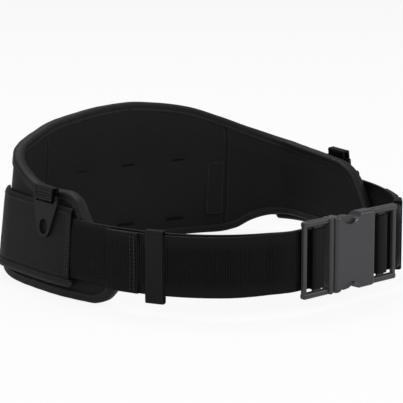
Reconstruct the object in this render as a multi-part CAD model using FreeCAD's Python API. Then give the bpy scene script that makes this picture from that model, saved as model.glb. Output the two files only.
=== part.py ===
import FreeCAD, Part
import math
import os

# Tool belt standing upright, closed around an empty waist. Millimetres.
# +Z is up, the wearer faces -Y and the wearer's left hand is at +X.
# Every piece is placed in belt coordinates: s runs along the belt from the middle of the back
# (positive towards the wearer's left), n points outwards from the waist, and z is the height.
# n = 0 is the inner face of the 50 mm webbing and z = 0 is its lower edge.

# ---- overall sizes ----
HALF_WIDTH = 155.0            # half the waist opening, side to side, at the webbing
BACK_DEPTH = 74.0             # from the widest line back to the lumbar
FRONT_DEPTH = 232.0           # from the widest line forward to the buckle
BACK_FULLNESS = 2.1           # superellipse powers: 2 is an ellipse, more is squarer
FRONT_FULLNESS = 2.65
WEB_HEIGHT = 50.0             # webbing width, standing on edge
WEB_THICK = 2.0
GAP = 0.3                     # left between soft layers that lie on one another
FLARE_DEG = 6.0               # the pad leans outwards towards its lower edge

# ---- pad layers, from the inside out ----
FOAM_THICK = 9.5
CLOTH = 1.0                   # cover, lining and sleeve cloth
BIND_THICK = 1.0
BIND_WIDTH = 7.0
BIND_OUT = -GAP               # the edge binding passes under the webbing at the wing tips
COVER_OUT = BIND_OUT - BIND_THICK - GAP
FOAM_OUT = COVER_OUT - CLOTH - GAP
FOAM_IN = FOAM_OUT - FOAM_THICK
LINING_IN = FOAM_IN - GAP - CLOTH
SLEEVE_IN = WEB_THICK + GAP
TAIL_IN = WEB_THICK + GAP

# ---- pad outline: (s, height) of the top and bottom edges ----
PAD_END = 325.0
TOP_LEFT = [(0, 113), (32, 110), (66, 104), (100, 93), (134, 81), (170, 72), (200, 69), (230, 67),
            (262, 65), (279, 59), (290, 50), (308, 26), (325, 2)]
TOP_RIGHT = [(0, 113), (31, 112), (60, 109), (92, 105), (117, 99), (160, 90), (185, 81), (202, 73),
             (217, 69), (240, 68), (262, 69), (277, 65), (290, 51), (308, 26), (325, 2)]
BOTTOM_LEFT = [(0, -19), (100, -19), (118, -16), (134, -8), (151, -3), (169, -1), (219, -1),
               (234, -4), (255, -16), (270, -19), (298, -19), (313, -15), (325, -4)]
BOTTOM_RIGHT = [(0, -19), (100, -19), (115, -17), (135, -10), (150, -9), (168, -13), (190, -18),
                (210, -19), (298, -19), (313, -15), (325, -4)]

# ---- lining panels and the seams between them ----
SEAM_S = 106.0
SEAM_GAP = 0.6
PATCH_S = (85.0, 104.0)
PATCH_Z = (0.0, 52.0)

# ---- sleeves over the webbing on each wing ----
SLEEVE_S = (150.0, 277.0)
SLEEVE_Z = (-1.5, WEB_HEIGHT + 7.0)
PIPING_RADIUS = 3.0
PIPING_S = (156.0, 282.0)

# ---- belt loops at the back, with their bar tacks ----
LOOP_S = 54.0
LOOP_WIDTH = 20.0
LOOP_Z = (-3.0, WEB_HEIGHT + 6.0)
LOOP_FOLD = 2.0
TACK_LENGTH = 18.0
TACK_HEIGHT = 2.0
TACK_PROUD = 0.6
TACK_Z = (-2.0, WEB_HEIGHT + 5.0)

# ---- strap ends: a tail folded back over each strap and held by an elastic keeper ----
STRAP_SPLIT_S = 327.0         # behind this the strap stays put; in front of it, it gives
TAIL_END_S = 322.0            # where each tail's folded hem ends
HEM_LENGTH = 30.0
TAIL_DROP = 1.5               # the tails ride a little lower than the straps under them
ARC_S = {-1: (345.0, 430.0), 1: (345.0, 392.0)}   # true arcs that the keepers slide on
KEEPER_S = {-1: 366.0, 1: 382.0}
KEEPER_WIDTH = 15.0
KEEPER_THICK = 1.2
KEEPER_FIT = 0.35
KEEPER_Z = (-8.5, WEB_HEIGHT + 1.8)
BEND_S = {-1: 455.0, 1: 393.0}                    # where each strap turns towards the buckle

# ---- side release buckle, in its own axes: u along it, v outwards, w up ----
BUCKLE_T = (-3.049, 2.679)    # where its two ends sit on the plan curve
BUCKLE_HEIGHT = WEB_HEIGHT + 14.0
FRAME_THICK = 6.0
BAR_THICK = 4.0
BAR_THIN = 3.0                # the bars that the straps wrap around
RAIL = 5.0
END_BAR = 4.0
PLUG_BAR = (-20.5, -11.5)     # u of the plug's middle bar
PLUG_LENGTH = 33.0
SHOULDER = 5.0
SOCKET_LENGTH = 48.0
SOCKET_THICK = 13.0
SOCKET_BAR = (57.0, 65.0)
CAVITY_HEIGHT = BUCKLE_HEIGHT - 10.0
CAVITY_THICK = 8.0
CAVITY_DEPTH = 41.0
MOUTH_GAP = 0.4
NOTCH_RADIUS = 14.0
NOTCH_U = 18.0
NOTCH_DEPTH = 8.0
POST = (32.0, 6.0, 8.0)       # length, thickness and height of the plug's guide
ARM_THICK = 6.8
ARM_FIT = 0.3
ARM_PIVOT = (-2.0, 15.0)      # u and w of the upper arm's pivot
ARM_BOSS = 1.8
STRAP_CLEAR = 4.0             # how far past the end bars the wrapped straps reach

# ---- suspender loops hanging from webbing tabs on the wings ----
RING_S = 243.0
RING_WIDTH = 34.0
RING_THICK = 2.4
RING_TOP = WEB_HEIGHT + 13.5  # height of the hanging bar's middle
RING_SLOT = (26.0, 4.4)
RING_SHOULDER = 6.0           # how far the full width reaches below the bar
RING_EYE_DROP = 26.0          # bar to the middle of the eye
RING_EYE = (11.0, 13.0)
RING_FOOT = 9.0               # radius of the rounded foot
TAB_WIDTH = 24.0
TAB_THICK = 1.6
TAB_FIT = 0.7
TAB_RISE = 8.0
TAB_IN = 1.3                  # how far the tab's inner face stands out

STEP = 5.0                    # distance between the sections that a curved piece is built on


# ---- plan curve ----
def ellipse_point(t):
    side, front = math.sin(t), -math.cos(t)
    power = FRONT_FULLNESS if front > 0 else BACK_FULLNESS
    depth = FRONT_DEPTH if front > 0 else BACK_DEPTH
    x = math.copysign(abs(side) ** (2 / power), side) * HALF_WIDTH
    y = -math.copysign(abs(front) ** (2 / power), front) * depth
    return FreeCAD.Vector(x, y, 0)


BUCKLE_START = ellipse_point(BUCKLE_T[0])
BUCKLE_END = ellipse_point(BUCKLE_T[1])
BUCKLE_AXIS = (BUCKLE_END - BUCKLE_START).normalize()
BUCKLE_OUT = FreeCAD.Vector(BUCKLE_AXIS.y, -BUCKLE_AXIS.x, 0)
BUCKLE_LENGTH = (BUCKLE_END - BUCKLE_START).Length
LADDER_END = BUCKLE_LENGTH - PLUG_LENGTH
TAIL_OUT = TAIL_IN + WEB_THICK
BUCKLE_N = TAIL_OUT + GAP + BAR_THICK / 2     # the buckle's middle plane


def measured(points):
    """The points, each with its distance along the line from the middle of the back."""
    middle = min(range(len(points)), key=lambda i: abs(points[i].x) - points[i].y)
    run = [0.0]
    for a, b in zip(points, points[1:]):
        run.append(run[-1] + (b - a).Length)
    return [r - run[middle] for r in run], points


def at_length(line, s):
    run, points = line
    i = max(1, min(len(run) - 1, next((k for k, r in enumerate(run) if r >= s), len(run) - 1)))
    share = (s - run[i - 1]) / (run[i] - run[i - 1])
    return points[i - 1] + (points[i] - points[i - 1]) * share


def arc_centre(a, b, c):
    return Part.Arc(a, b, c).toShape().Curve.Center


FINE = 4000
ELLIPSE = measured([ellipse_point(-math.pi + 2 * math.pi * i / FINE) for i in range(FINE + 1)])


def bend(start, start_way, end, end_way, count=60):
    """Points of a smooth curve from start to end, leaving and arriving along the given ways."""
    reach = (end - start).Length
    points = []
    for i in range(1, count + 1):
        x = i / count
        points.append(start * ((1 + 2 * x) * (1 - x) ** 2) + end * (x * x * (3 - 2 * x))
                      + start_way * (reach * x * (1 - x) ** 2)
                      - end_way * (reach * x * x * (1 - x)))
    return points


def strap_line():
    """The webbing's line: the plan curve, a true arc where each keeper slides, and a bend
    into each end of the buckle."""
    arcs = {}
    for side in (-1, 1):
        ends = [at_length(ELLIPSE, side * s) for s in (ARC_S[side][0], sum(ARC_S[side]) / 2,
                                                       ARC_S[side][1])]
        centre = arc_centre(*ends)
        arcs[side] = centre, (ends[0] - centre).Length
    points = []
    for s, p in zip(*ELLIPSE):
        side = 1 if s > 0 else -1
        if abs(s) > BEND_S[side]:
            continue
        if ARC_S[side][0] <= abs(s) <= ARC_S[side][1]:
            centre, radius = arcs[side]
            p = centre + (p - centre).normalize() * radius
        points.append(p)
    right_way = (points[0] - points[2]).normalize()
    left_way = (points[-1] - points[-3]).normalize()
    right = bend(points[0], right_way, BUCKLE_START - BUCKLE_AXIS * STRAP_CLEAR, BUCKLE_AXIS)
    left = bend(points[-1], left_way, BUCKLE_END + BUCKLE_AXIS * STRAP_CLEAR, -BUCKLE_AXIS)
    return measured(right[::-1] + points + left), arcs


STRAP, KEEPER_ARCS = strap_line()
STRAP_ENDS = STRAP[0][0], STRAP[0][-1]


def frame_at(s):
    """The point on the webbing's inner face at s, and the outward direction there."""
    ahead, behind = at_length(STRAP, s + 1.0), at_length(STRAP, s - 1.0)
    along = (ahead - behind).normalize()
    return at_length(STRAP, s), FreeCAD.Vector(-along.y, along.x, 0)


def ease(share):
    share = max(0.0, min(1.0, share))
    return share * share * (3 - 2 * share)


def flare(s):
    """Outward lean per millimetre of height: full on the pad, none on the front straps."""
    return math.tan(math.radians(FLARE_DEG)) * (1 - ease((abs(s) - 250) / 70))


def place(s, n, z):
    point, out = frame_at(s)
    lean = n - (z - WEB_HEIGHT / 2) * flare(s)
    return point + out * lean + FreeCAD.Vector(0, 0, z)


def level(table, s):
    """Smooth height at s from a table of (s, height)."""
    s = abs(s)
    i = max(1, min(len(table) - 1, next((k for k, p in enumerate(table) if p[0] >= s), len(table) - 1)))
    slopes = [(b[1] - a[1]) / (b[0] - a[0]) for a, b in zip(table, table[1:])]

    def slope(k):
        if k in (0, len(table) - 1):
            return 0.0 if k == 0 else slopes[-1]
        before, after = slopes[k - 1], slopes[k]
        return 0.0 if before * after <= 0 else 2 * before * after / (before + after)

    (s0, z0), (s1, z1) = table[i - 1], table[i]
    width = s1 - s0
    x = (s - s0) / width
    return (z0 * (1 + 2 * x) * (1 - x) ** 2 + z1 * x * x * (3 - 2 * x)
            + slope(i - 1) * width * x * (1 - x) ** 2 - slope(i) * width * x * x * (1 - x))


def pad_top(s):
    return level(TOP_LEFT if s > 0 else TOP_RIGHT, s)


def pad_bottom(s):
    return level(BOTTOM_LEFT if s > 0 else BOTTOM_RIGHT, s)


# ---- building solids ----
def stations(first, last, step=STEP):
    """Places along the belt, shared by neighbouring pieces, with both ends."""
    low, high = min(first, last), max(first, last)
    inner = [k * step for k in range(math.ceil(low / step), math.floor(high / step) + 1)]
    inner = [s for s in inner if s - low > step * 0.2 and high - s > step * 0.2]
    return [low] + inner + [high]


def skin(sections, closed=False):
    """A solid through the sections, each a list of the same number of corner points."""
    middles = [sum(row, FreeCAD.Vector()) * (1 / len(row)) for row in sections]
    places = [0.0]
    for a, b in zip(middles, middles[1:]):
        places.append(places[-1] + (b - a).Length)
    corners = []
    for row in zip(*sections):
        curve = Part.BSplineCurve()
        if closed:
            curve.interpolate(Points=list(row), PeriodicFlag=True)
        else:
            curve.interpolate(Points=list(row), Parameters=places)
        corners.append(curve.toShape())
    faces = [Part.makeRuledSurface(a, b) for a, b in zip(corners, corners[1:] + corners[:1])]
    if not closed:
        for end in (sections[0], sections[-1]):
            faces.append(Part.Face(Part.makePolygon(list(end) + [end[0]])))
    shell = Part.Shell(faces)
    shell.sewShape()
    solid = Part.makeSolid(Part.Shell(shell.Faces))
    if solid.Volume < 0:
        solid.reverse()
    if not solid.isValid():
        solid.fix(0.01, 0.01, 0.01)
    return solid


def sheet(first, last, inner, outer, low, high):
    """A wall along the belt. Each bound is a number or a function of s."""
    def value(bound, s):
        return bound(s) if callable(bound) else bound
    sections = []
    for s in stations(first, last):
        bounds = [value(b, s) for b in (inner, outer, low, high)]
        n0, n1, z0, z1 = bounds
        sections.append([place(s, n, z) for n, z in ((n0, z0), (n1, z0), (n1, z1), (n0, z1))])
    return skin(sections)


def in_buckle(shape):
    """Moves a shape from the buckle's axes to its place on the belt."""
    mouth = BUCKLE_START + BUCKLE_AXIS * PLUG_LENGTH
    middle = WEB_HEIGHT / 2
    turn = math.degrees(math.atan2(BUCKLE_AXIS.y, BUCKLE_AXIS.x))
    shape.rotate(FreeCAD.Vector(0, 0, 0), FreeCAD.Vector(0, 0, 1), turn)
    shape.translate(FreeCAD.Vector(mouth.x, mouth.y, middle) + BUCKLE_OUT * BUCKLE_N)
    return shape


def block(u0, u1, v0, v1, w0, w1, rounding=0.0):
    """A box in the buckle's axes (x along, y inwards, z up), with v measured outwards."""
    box = Part.makeBox(u1 - u0, v1 - v0, w1 - w0, FreeCAD.Vector(u0, -v1, w0))
    return box.makeFillet(rounding, box.Edges) if rounding else box


def centred(u0, u1, thick, height, rounding=0.0):
    return block(u0, u1, -thick / 2, thick / 2, -height / 2, height / 2, rounding)


pieces = {}


def save(name, shape):
    """Keeps a finished piece until all of them are moved to the shared origin together."""
    pieces[name] = shape


# ---- foam core, cover and lining ----
inset = BIND_THICK + 2 * GAP  # the layers stop this far inside the binding's outer face


def rise(profile, s):
    """How much longer a line across the edge is than one square to it."""
    return math.hypot(1, (profile(s + 0.5) - profile(s - 0.5)))


def top_inset(s):
    return pad_top(s) - inset * rise(pad_top, s)


def bottom_inset(s):
    return min(pad_bottom(s) + inset * rise(pad_bottom, s), top_inset(s) - 1)


pad_end = PAD_END - inset
foam = sheet(-pad_end, pad_end, FOAM_IN, FOAM_OUT, bottom_inset, top_inset)
save("foam_core", foam)
cover = sheet(-pad_end, pad_end, FOAM_OUT + GAP, COVER_OUT, bottom_inset, top_inset)
save("outer_cover", cover)
half_seam = SEAM_GAP / 2
for name, first, last in (("inner_lining_center", -SEAM_S + half_seam, SEAM_S - half_seam),
                          ("inner_lining_right", -pad_end, -SEAM_S - half_seam),
                          ("inner_lining_left", SEAM_S + half_seam, pad_end)):
    save(name, sheet(first, last, LINING_IN, LINING_IN + CLOTH, bottom_inset, top_inset))
patch_in = LINING_IN - GAP - CLOTH
save("lining_patch", sheet(*PATCH_S, patch_in, patch_in + CLOTH, *PATCH_Z))


# ---- edge binding: a U-shaped tape around the whole outline of the pad ----
def outline():
    """Points (s, z) around the pad: along the top from right to left, back along the bottom."""
    places = stations(-PAD_END, PAD_END)
    top = [(s, pad_top(s)) for s in places]
    bottom = [(s, pad_bottom(s)) for s in reversed(places)]
    return top + bottom


def binding_sections():
    path = outline()
    count = len(path)
    sections = []
    for i, (s, z) in enumerate(path):
        before, after = path[i - 1], path[(i + 1) % count]
        along_s, along_z = after[0] - before[0], after[1] - before[1]
        length = math.hypot(along_s, along_z)
        inward_s, inward_z = along_z / length, -along_s / length
        outer, inner = BIND_OUT, LINING_IN - GAP - BIND_THICK
        section = []
        for n, depth in ((outer, 0), (outer, BIND_WIDTH), (outer - BIND_THICK, BIND_WIDTH),
                         (outer - BIND_THICK, BIND_THICK), (inner + BIND_THICK, BIND_THICK),
                         (inner + BIND_THICK, BIND_WIDTH), (inner, BIND_WIDTH), (inner, 0)):
            section.append(place(s + inward_s * depth, n, z + inward_z * depth))
        sections.append(section)
    return sections


save("edge_binding", skin(binding_sections(), closed=True))


# ---- webbing, and the sleeves and loops that hold it to the pad ----
def strap_part(first, last, inner=0.0, drop=0.0):
    return sheet(first, last, inner, inner + WEB_THICK, -drop, WEB_HEIGHT - drop)


save("main_webbing", strap_part(-STRAP_SPLIT_S, STRAP_ENDS[1]))
save("right_strap_front", strap_part(STRAP_ENDS[0] + GAP, -STRAP_SPLIT_S - GAP))

sleeve_out = SLEEVE_IN + CLOTH
on_cover = COVER_OUT + GAP
on_binding = BIND_OUT + GAP
for name, side in (("right", -1), ("left", 1)):
    sections, pipes = [], []
    low, high = SLEEVE_Z
    for s in stations(side * SLEEVE_S[0], side * SLEEVE_S[1]):
        sections.append([place(s, n, z) for n, z in (
            (SLEEVE_IN, low), (sleeve_out, low), (sleeve_out, high), (on_binding, high),
            (on_binding, high - CLOTH), (SLEEVE_IN, high - CLOTH))])
    save(name + "_wing_sleeve", skin(sections))
    for s in stations(side * PIPING_S[0], side * PIPING_S[1]):
        turns = [2 * math.pi * k / 10 for k in range(10)]
        pipes.append([place(s, PIPING_RADIUS + GAP / 2 + PIPING_RADIUS * math.cos(a),
                            low - GAP - PIPING_RADIUS + PIPING_RADIUS * math.sin(a))
                      for a in turns])
    save(name + "_sleeve_piping", skin(pipes))

tacks = []
for name, middle in (("right", -LOOP_S), ("center", 0.0), ("left", LOOP_S)):
    low, high = LOOP_Z
    sections = []
    for s in stations(middle - LOOP_WIDTH / 2, middle + LOOP_WIDTH / 2):
        sections.append([place(s, n, z) for n, z in (
            (on_cover, low), (sleeve_out, low), (sleeve_out, high), (on_cover, high),
            (on_cover, high - LOOP_FOLD), (SLEEVE_IN, high - LOOP_FOLD),
            (SLEEVE_IN, low + LOOP_FOLD), (on_cover, low + LOOP_FOLD))])
    save("back_loop_" + name, skin(sections))
    for height in TACK_Z:
        outer = LINING_IN - GAP
        tacks.append(sheet(middle - TACK_LENGTH / 2, middle + TACK_LENGTH / 2, outer - TACK_PROUD,
                           outer, height - TACK_HEIGHT / 2, height + TACK_HEIGHT / 2))
save("bar_tacks", Part.makeCompound(tacks))


# ---- strap tails with folded hems, and their keepers ----
def tail(side):
    """The strap's free end, lying on the strap, with its hem folded outwards."""
    end = STRAP_ENDS[0] + GAP if side < 0 else STRAP_ENDS[1] - GAP

    def low(s):
        return -TAIL_DROP * ease((abs(end) - abs(s)) / 60)

    def high(s):
        return WEB_HEIGHT + low(s)

    hem = TAIL_OUT + GAP
    fold_end = side * (TAIL_END_S + WEB_THICK)
    layer = sheet(fold_end, end, TAIL_IN, TAIL_OUT, low, high)
    fold = sheet(side * TAIL_END_S, fold_end, TAIL_IN, hem + WEB_THICK, low, high)
    flap = sheet(fold_end, side * (TAIL_END_S + HEM_LENGTH), hem, hem + WEB_THICK, low, high)
    return layer.fuse([fold, flap]).removeSplitter()


def keeper(side):
    """A flat ring around both layers, curved to the arc that it slides on."""
    centre, radius = KEEPER_ARCS[side]
    start, _ = frame_at(side * KEEPER_S[side] + KEEPER_WIDTH / 2)
    out = (start - centre).normalize()
    low, high = KEEPER_Z

    def ring(n0, n1, z0, z1):
        corners = [centre + out * (radius + n) + FreeCAD.Vector(0, 0, z)
                   for n, z in ((n0, z0), (n1, z0), (n1, z1), (n0, z1))]
        face = Part.Face(Part.makePolygon(corners + corners[:1]))
        return face.revolve(centre, FreeCAD.Vector(0, 0, 1), math.degrees(KEEPER_WIDTH / radius))

    inside = (-KEEPER_FIT, TAIL_OUT + KEEPER_FIT)
    outer = ring(inside[0] - KEEPER_THICK, inside[1] + KEEPER_THICK, low, high)
    return outer.cut(ring(*inside, low + KEEPER_THICK, high - KEEPER_THICK))


for name, side in (("right", -1), ("left", 1)):
    save(name + "_strap_tail", tail(side))
    save(name + "_keeper", keeper(side))


# ---- buckle ----
def ribbon(path):
    """Webbing seen edge on: a strip of even thickness along the (u, v) path, made tall."""
    half = WEB_THICK / 2
    sides = {1: [], -1: []}
    for i, (u, v) in enumerate(path):
        ways = []
        for a, b in ((i - 1, i), (i, i + 1)):
            if a >= 0 and b < len(path):
                du, dv = path[b][0] - path[a][0], path[b][1] - path[a][1]
                ways.append((-dv / math.hypot(du, dv), du / math.hypot(du, dv)))
        mean = [sum(w) / len(ways) for w in zip(*ways)]
        scale = half / (mean[0] ** 2 + mean[1] ** 2)
        for sign in sides:
            sides[sign].append((u + sign * mean[0] * scale, v + sign * mean[1] * scale))
    loop = sides[1] + sides[-1][::-1]
    points = [FreeCAD.Vector(u, -v, -WEB_HEIGHT / 2) for u, v in loop]
    face = Part.Face(Part.makePolygon(points + points[:1]))
    return face.extrude(FreeCAD.Vector(0, 0, WEB_HEIGHT))


def wrap(near, far, end):
    """The strap's turn around a middle bar: in below it, over it and back under the end bar."""
    way = 1 if near > far else -1
    reach = GAP + WEB_THICK / 2
    main, tail_v = WEB_THICK / 2 - BUCKLE_N, TAIL_IN + WEB_THICK / 2 - BUCKLE_N
    over = BAR_THIN - BAR_THICK / 2 + reach
    near, far = near + way * reach, far - way * reach
    cut = 1.2
    return ribbon([(end, main), (near - way * cut, main), (near, main + cut), (near, over - cut),
                   (near - way * cut, over), (far + way * cut, over), (far, over - cut),
                   (far, tail_v + cut / 2), (far - way * cut / 2, tail_v), (end, tail_v)])


plug_end = -PLUG_LENGTH
save("right_strap_wrap", in_buckle(wrap(PLUG_BAR[1], PLUG_BAR[0], plug_end - STRAP_CLEAR + GAP)))
save("left_strap_wrap", in_buckle(wrap(SOCKET_BAR[0], SOCKET_BAR[1],
                                       LADDER_END + STRAP_CLEAR - GAP)))


def ladder(first, last, bar, tie):
    """Two rails, an end bar and the middle bar that a strap wraps around."""
    outer = BUCKLE_HEIGHT / 2
    rails = [block(first, last, -FRAME_THICK / 2, FRAME_THICK / 2, w0, w1, 1.8)
             for w0, w1 in ((-outer, RAIL - outer), (outer - RAIL, outer))]
    bars = [centred(*tie, BAR_THICK, BUCKLE_HEIGHT - RAIL, 1.2),
            block(*bar, -BAR_THICK / 2, BAR_THIN - BAR_THICK / 2, RAIL / 2 - outer,
                  outer - RAIL / 2, 1.0)]
    return rails + bars


socket = centred(MOUTH_GAP, SOCKET_LENGTH, SOCKET_THICK, BUCKLE_HEIGHT, 3.0)
cavity = centred(-MOUTH_GAP, CAVITY_DEPTH, CAVITY_THICK, CAVITY_HEIGHT)
socket = socket.cut(cavity)
notches = []
for sign in (-1, 1):
    w = sign * (BUCKLE_HEIGHT / 2 - NOTCH_DEPTH + NOTCH_RADIUS)
    notches.append(Part.makeCylinder(NOTCH_RADIUS, 2 * SOCKET_THICK,
                                     FreeCAD.Vector(NOTCH_U, -SOCKET_THICK, w),
                                     FreeCAD.Vector(0, 1, 0)))
socket = socket.cut(notches)
socket_tie = (LADDER_END - END_BAR, LADDER_END)
socket = socket.fuse(ladder(SOCKET_LENGTH - RAIL, LADDER_END, SOCKET_BAR, socket_tie))
socket = socket.removeSplitter()
save("buckle_socket", in_buckle(socket))


def pivot(sign, radius):
    u, w = ARM_PIVOT
    return Part.makeCylinder(radius, ARM_THICK, FreeCAD.Vector(u, -ARM_THICK / 2, sign * w),
                             FreeCAD.Vector(0, 1, 0))


shoulder = centred(-SHOULDER, 0, FRAME_THICK + 4, BUCKLE_HEIGHT, 1.8)
post = centred(-SHOULDER / 2, POST[0], POST[1], POST[2], 1.0)
plug_tie = (plug_end, plug_end + END_BAR)
plug = shoulder.fuse([post] + ladder(plug_end, -SHOULDER / 2, PLUG_BAR, plug_tie))
for sign in (-1, 1):
    pocket = pivot(sign, ARM_BOSS + ARM_FIT)
    mouth = block(ARM_PIVOT[0], 1, -ARM_THICK / 2, ARM_THICK / 2, *sorted(
        (sign * (ARM_PIVOT[1] - ARM_BOSS - ARM_FIT - 1.5), sign * (ARM_PIVOT[1] + ARM_BOSS + 1.5))))
    plug = plug.cut([pocket, mouth])
save("buckle_plug", in_buckle(plug.removeSplitter()))

# outline of the upper latch arm in (u, w), from its pivot round the button to its tip
ARM_OUTLINE = [(-2, 13.4), (6, 14.5), (16, 14.5), (33, 15), (35, 17), (33, 20), (26.2, 26.6),
               (25.5, 27.5), (19, 30.5), (13, 31), (9.8, 30.3), (9.8, 19), (6, 17.9), (-2, 16.6)]
for name, sign in (("upper", 1), ("lower", -1)):
    points = [FreeCAD.Vector(u, ARM_THICK / 2 - ARM_FIT, sign * w) for u, w in ARM_OUTLINE]
    blade = Part.Face(Part.makePolygon(points + points[:1]))
    blade = blade.extrude(FreeCAD.Vector(0, 2 * ARM_FIT - ARM_THICK, 0))
    boss = pivot(sign, ARM_BOSS)
    boss = boss.common(block(-9, 9, ARM_FIT - ARM_THICK / 2, ARM_THICK / 2 - ARM_FIT, -40, 40))
    save(name + "_latch_arm", in_buckle(blade.fuse(boss).removeSplitter()))


# ---- suspender loops and their tabs ----
def ring_plate():
    """The loop in its own axes: x along the belt, y outwards, z up from the hanging bar."""
    half, rise, foot = RING_WIDTH / 2, RING_THICK / 2, RING_FOOT
    corner = FreeCAD.Vector(half, 0, -RING_SHOULDER)
    middle = FreeCAD.Vector(0, 0, -RING_EYE_DROP)
    away = corner - middle
    turn = math.atan2(away.z, away.x) - math.acos(foot / away.Length)
    touch = middle + FreeCAD.Vector(math.cos(turn), 0, math.sin(turn)) * foot
    other = FreeCAD.Vector(-touch.x, 0, touch.z)
    outline = Part.Wire([
        Part.makeLine(FreeCAD.Vector(-half, 0, rise), FreeCAD.Vector(half, 0, rise)),
        Part.makeLine(FreeCAD.Vector(half, 0, rise), corner),
        Part.makeLine(corner, touch),
        Part.Arc(touch, middle - FreeCAD.Vector(0, 0, foot), other).toShape(),
        Part.makeLine(other, FreeCAD.Vector(-half, 0, -RING_SHOULDER)),
        Part.makeLine(FreeCAD.Vector(-half, 0, -RING_SHOULDER), FreeCAD.Vector(-half, 0, rise))])
    plate = Part.Face(outline).extrude(FreeCAD.Vector(0, RING_THICK, 0))
    plate.translate(FreeCAD.Vector(0, -RING_THICK / 2, 0))
    slot = Part.makeBox(RING_SLOT[0], 2 * RING_THICK, RING_SLOT[1],
                        FreeCAD.Vector(-RING_SLOT[0] / 2, -RING_THICK, -rise - RING_SLOT[1]))
    wide, tall = RING_EYE[0] / 2, RING_EYE[1] / 2
    holes = [slot]
    for dz in (wide - tall, tall - wide):
        holes.append(Part.makeCylinder(wide, 2 * RING_THICK,
                                       middle + FreeCAD.Vector(0, -RING_THICK, dz),
                                       FreeCAD.Vector(0, 1, 0)))
    holes.append(Part.makeBox(2 * wide, 2 * RING_THICK, 2 * (tall - wide),
                              middle + FreeCAD.Vector(-wide, -RING_THICK, wide - tall)))
    plate = plate.cut(holes)
    bar = Part.makeCylinder(rise, RING_SLOT[0] + 2, FreeCAD.Vector(-RING_SLOT[0] / 2 - 1, 0, 0),
                            FreeCAD.Vector(1, 0, 0))
    square = Part.makeBox(RING_SLOT[0], RING_THICK, RING_THICK,
                          FreeCAD.Vector(-RING_SLOT[0] / 2, -rise, -rise))
    return plate.cut(square).fuse(bar).removeSplitter()


def tab_band():
    """Webbing folded through the loop's slot and up on both sides of its bar."""
    reach = RING_THICK / 2 + TAB_FIT
    outer = reach + TAB_THICK

    def tube(side, top):
        return Part.makeBox(TAB_WIDTH, 2 * side, side + top,
                            FreeCAD.Vector(-TAB_WIDTH / 2, -side, -side))

    return tube(outer, TAB_RISE).cut(tube(reach, TAB_RISE - TAB_THICK))


def on_wing(shape, side):
    """Places a shape with its hanging bar at the ring's height, leaning with the wing."""
    s = side * RING_S
    n = TAB_IN + TAB_THICK + TAB_FIT + RING_THICK / 2
    _, out = frame_at(s)
    lean = math.degrees(math.atan(flare(s)))
    shape.rotate(FreeCAD.Vector(0, 0, 0), FreeCAD.Vector(1, 0, 0), lean)
    turn = math.degrees(math.atan2(out.y, out.x)) - 90
    shape.rotate(FreeCAD.Vector(0, 0, 0), FreeCAD.Vector(0, 0, 1), turn)
    shape.translate(place(s, n, RING_TOP))
    return shape


for name, side in (("right", -1), ("left", 1)):
    save(name + "_suspender_loop", on_wing(ring_plate(), side))
    save(name + "_loop_tab", on_wing(tab_band(), side))


# ---- the shared origin: on the floor, under the middle of the whole belt ----
whole = Part.makeCompound(list(pieces.values())).optimalBoundingBox()
origin = FreeCAD.Vector((whole.XMin + whole.XMax) / 2, (whole.YMin + whole.YMax) / 2, whole.ZMin)
os.makedirs("parts", exist_ok=True)
for name, shape in pieces.items():
    shape.translate(-origin)
    shape.exportStep("parts/" + name + ".step")
    print(name, len(shape.Solids), "solids", round(shape.Volume), "mm3", shape.isValid())


def told(label, point, shift=True):
    """Prints a place or a direction, in metres or as a unit vector, for the record."""
    v = (point - origin) * 0.001 if shift else point
    print(label, [round(c, 6) for c in v])


for name, side in (("right", -1), ("left", 1)):
    centre, radius = KEEPER_ARCS[side]
    told(name + " keeper arc centre", centre)
    print(name, "keeper arc radius", round(radius, 3))
    told(name + " loop bar", place(side * RING_S, TAB_IN + TAB_THICK + TAB_FIT + RING_THICK / 2,
                                   RING_TOP))
    told(name + " loop outwards", frame_at(side * RING_S)[1], False)
told("buckle mouth", in_buckle(Part.Vertex(0, 0, 0)).Point)
told("buckle axis", BUCKLE_AXIS, False)
for sign in (1, -1):
    told("arm pivot", in_buckle(Part.Vertex(ARM_PIVOT[0], 0, sign * ARM_PIVOT[1])).Point)
told("rest face", place(0, (COVER_OUT + LINING_IN) / 2, pad_bottom(0)))
told("waist middle", FreeCAD.Vector(0, -60, 50))
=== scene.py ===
# %% [markdown]
# # A padded tool belt, standing closed on a table
# The belt is a foam pad with bound edges, worn round the waist. A 50 mm web strap runs round the
# outside of it, through a sleeve on each wing and three loops at the back, and closes in front
# with a side release buckle. The hard parts keep the frame's own shapes and get finishes here.
# The soft parts are sewn things, so each is laid out flat, as a maker would cut it, and then
# wrapped round the waist line.

# %% Load the frame
import math

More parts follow.
